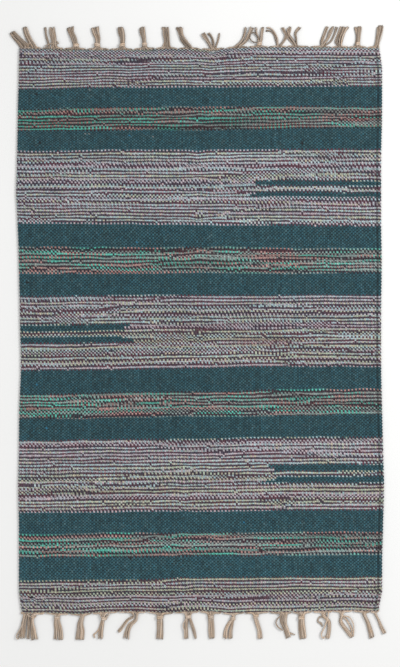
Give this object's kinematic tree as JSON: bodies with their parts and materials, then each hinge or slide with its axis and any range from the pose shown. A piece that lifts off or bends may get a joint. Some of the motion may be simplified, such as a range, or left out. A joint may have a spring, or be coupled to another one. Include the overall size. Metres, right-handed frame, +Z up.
{
  "type": "kilim rug",
  "caption": "Flat-woven striped kilim rug lying flat, with wandering selvedges and knotted warp tassels along both woven ends.",
  "frame": {"origin": "on the floor under the middle of the whole outline, tassels included", "axes": "+X to the right selvedge, +Y along the rug to its head end, +Z up from the floor through the cloth"},
  "size_m": [0.6292, 1.0366, 0.0064],
  "materials": {
    "woven_field": "matte weft-faced wool in marled, mixed and teal bands",
    "warp_fringe": "matte beige plied warp yarn"
  },
  "bodies": {
    "root": {"rug": "woven_field", "tassel_head_01": "warp_fringe", "tassel_head_02": "warp_fringe", "tassel_head_03": "warp_fringe", "tassel_head_04": "warp_fringe", "tassel_head_05": "warp_fringe", "tassel_head_06": "warp_fringe", "tassel_head_07": "warp_fringe", "tassel_head_08": "warp_fringe", "tassel_head_09": "warp_fringe", "tassel_head_10": "warp_fringe", "tassel_head_11": "warp_fringe", "tassel_head_12": "warp_fringe", "tassel_head_13": "warp_fringe", "tassel_head_14": "warp_fringe", "tassel_head_15": "warp_fringe", "tassel_head_16": "warp_fringe", "tassel_head_17": "warp_fringe", "tassel_head_18": "warp_fringe", "tassel_foot_01": "warp_fringe", "tassel_foot_02": "warp_fringe", "tassel_foot_03": "warp_fringe", "tassel_foot_04": "warp_fringe", "tassel_foot_05": "warp_fringe", "tassel_foot_06": "warp_fringe", "tassel_foot_07": "warp_fringe", "tassel_foot_08": "warp_fringe", "tassel_foot_09": "warp_fringe", "tassel_foot_10": "warp_fringe", "tassel_foot_11": "warp_fringe", "tassel_foot_12": "warp_fringe", "tassel_foot_13": "warp_fringe", "tassel_foot_14": "warp_fringe", "tassel_foot_15": "warp_fringe", "tassel_foot_16": "warp_fringe", "tassel_foot_17": "warp_fringe"}
  },
  "joints": []
}
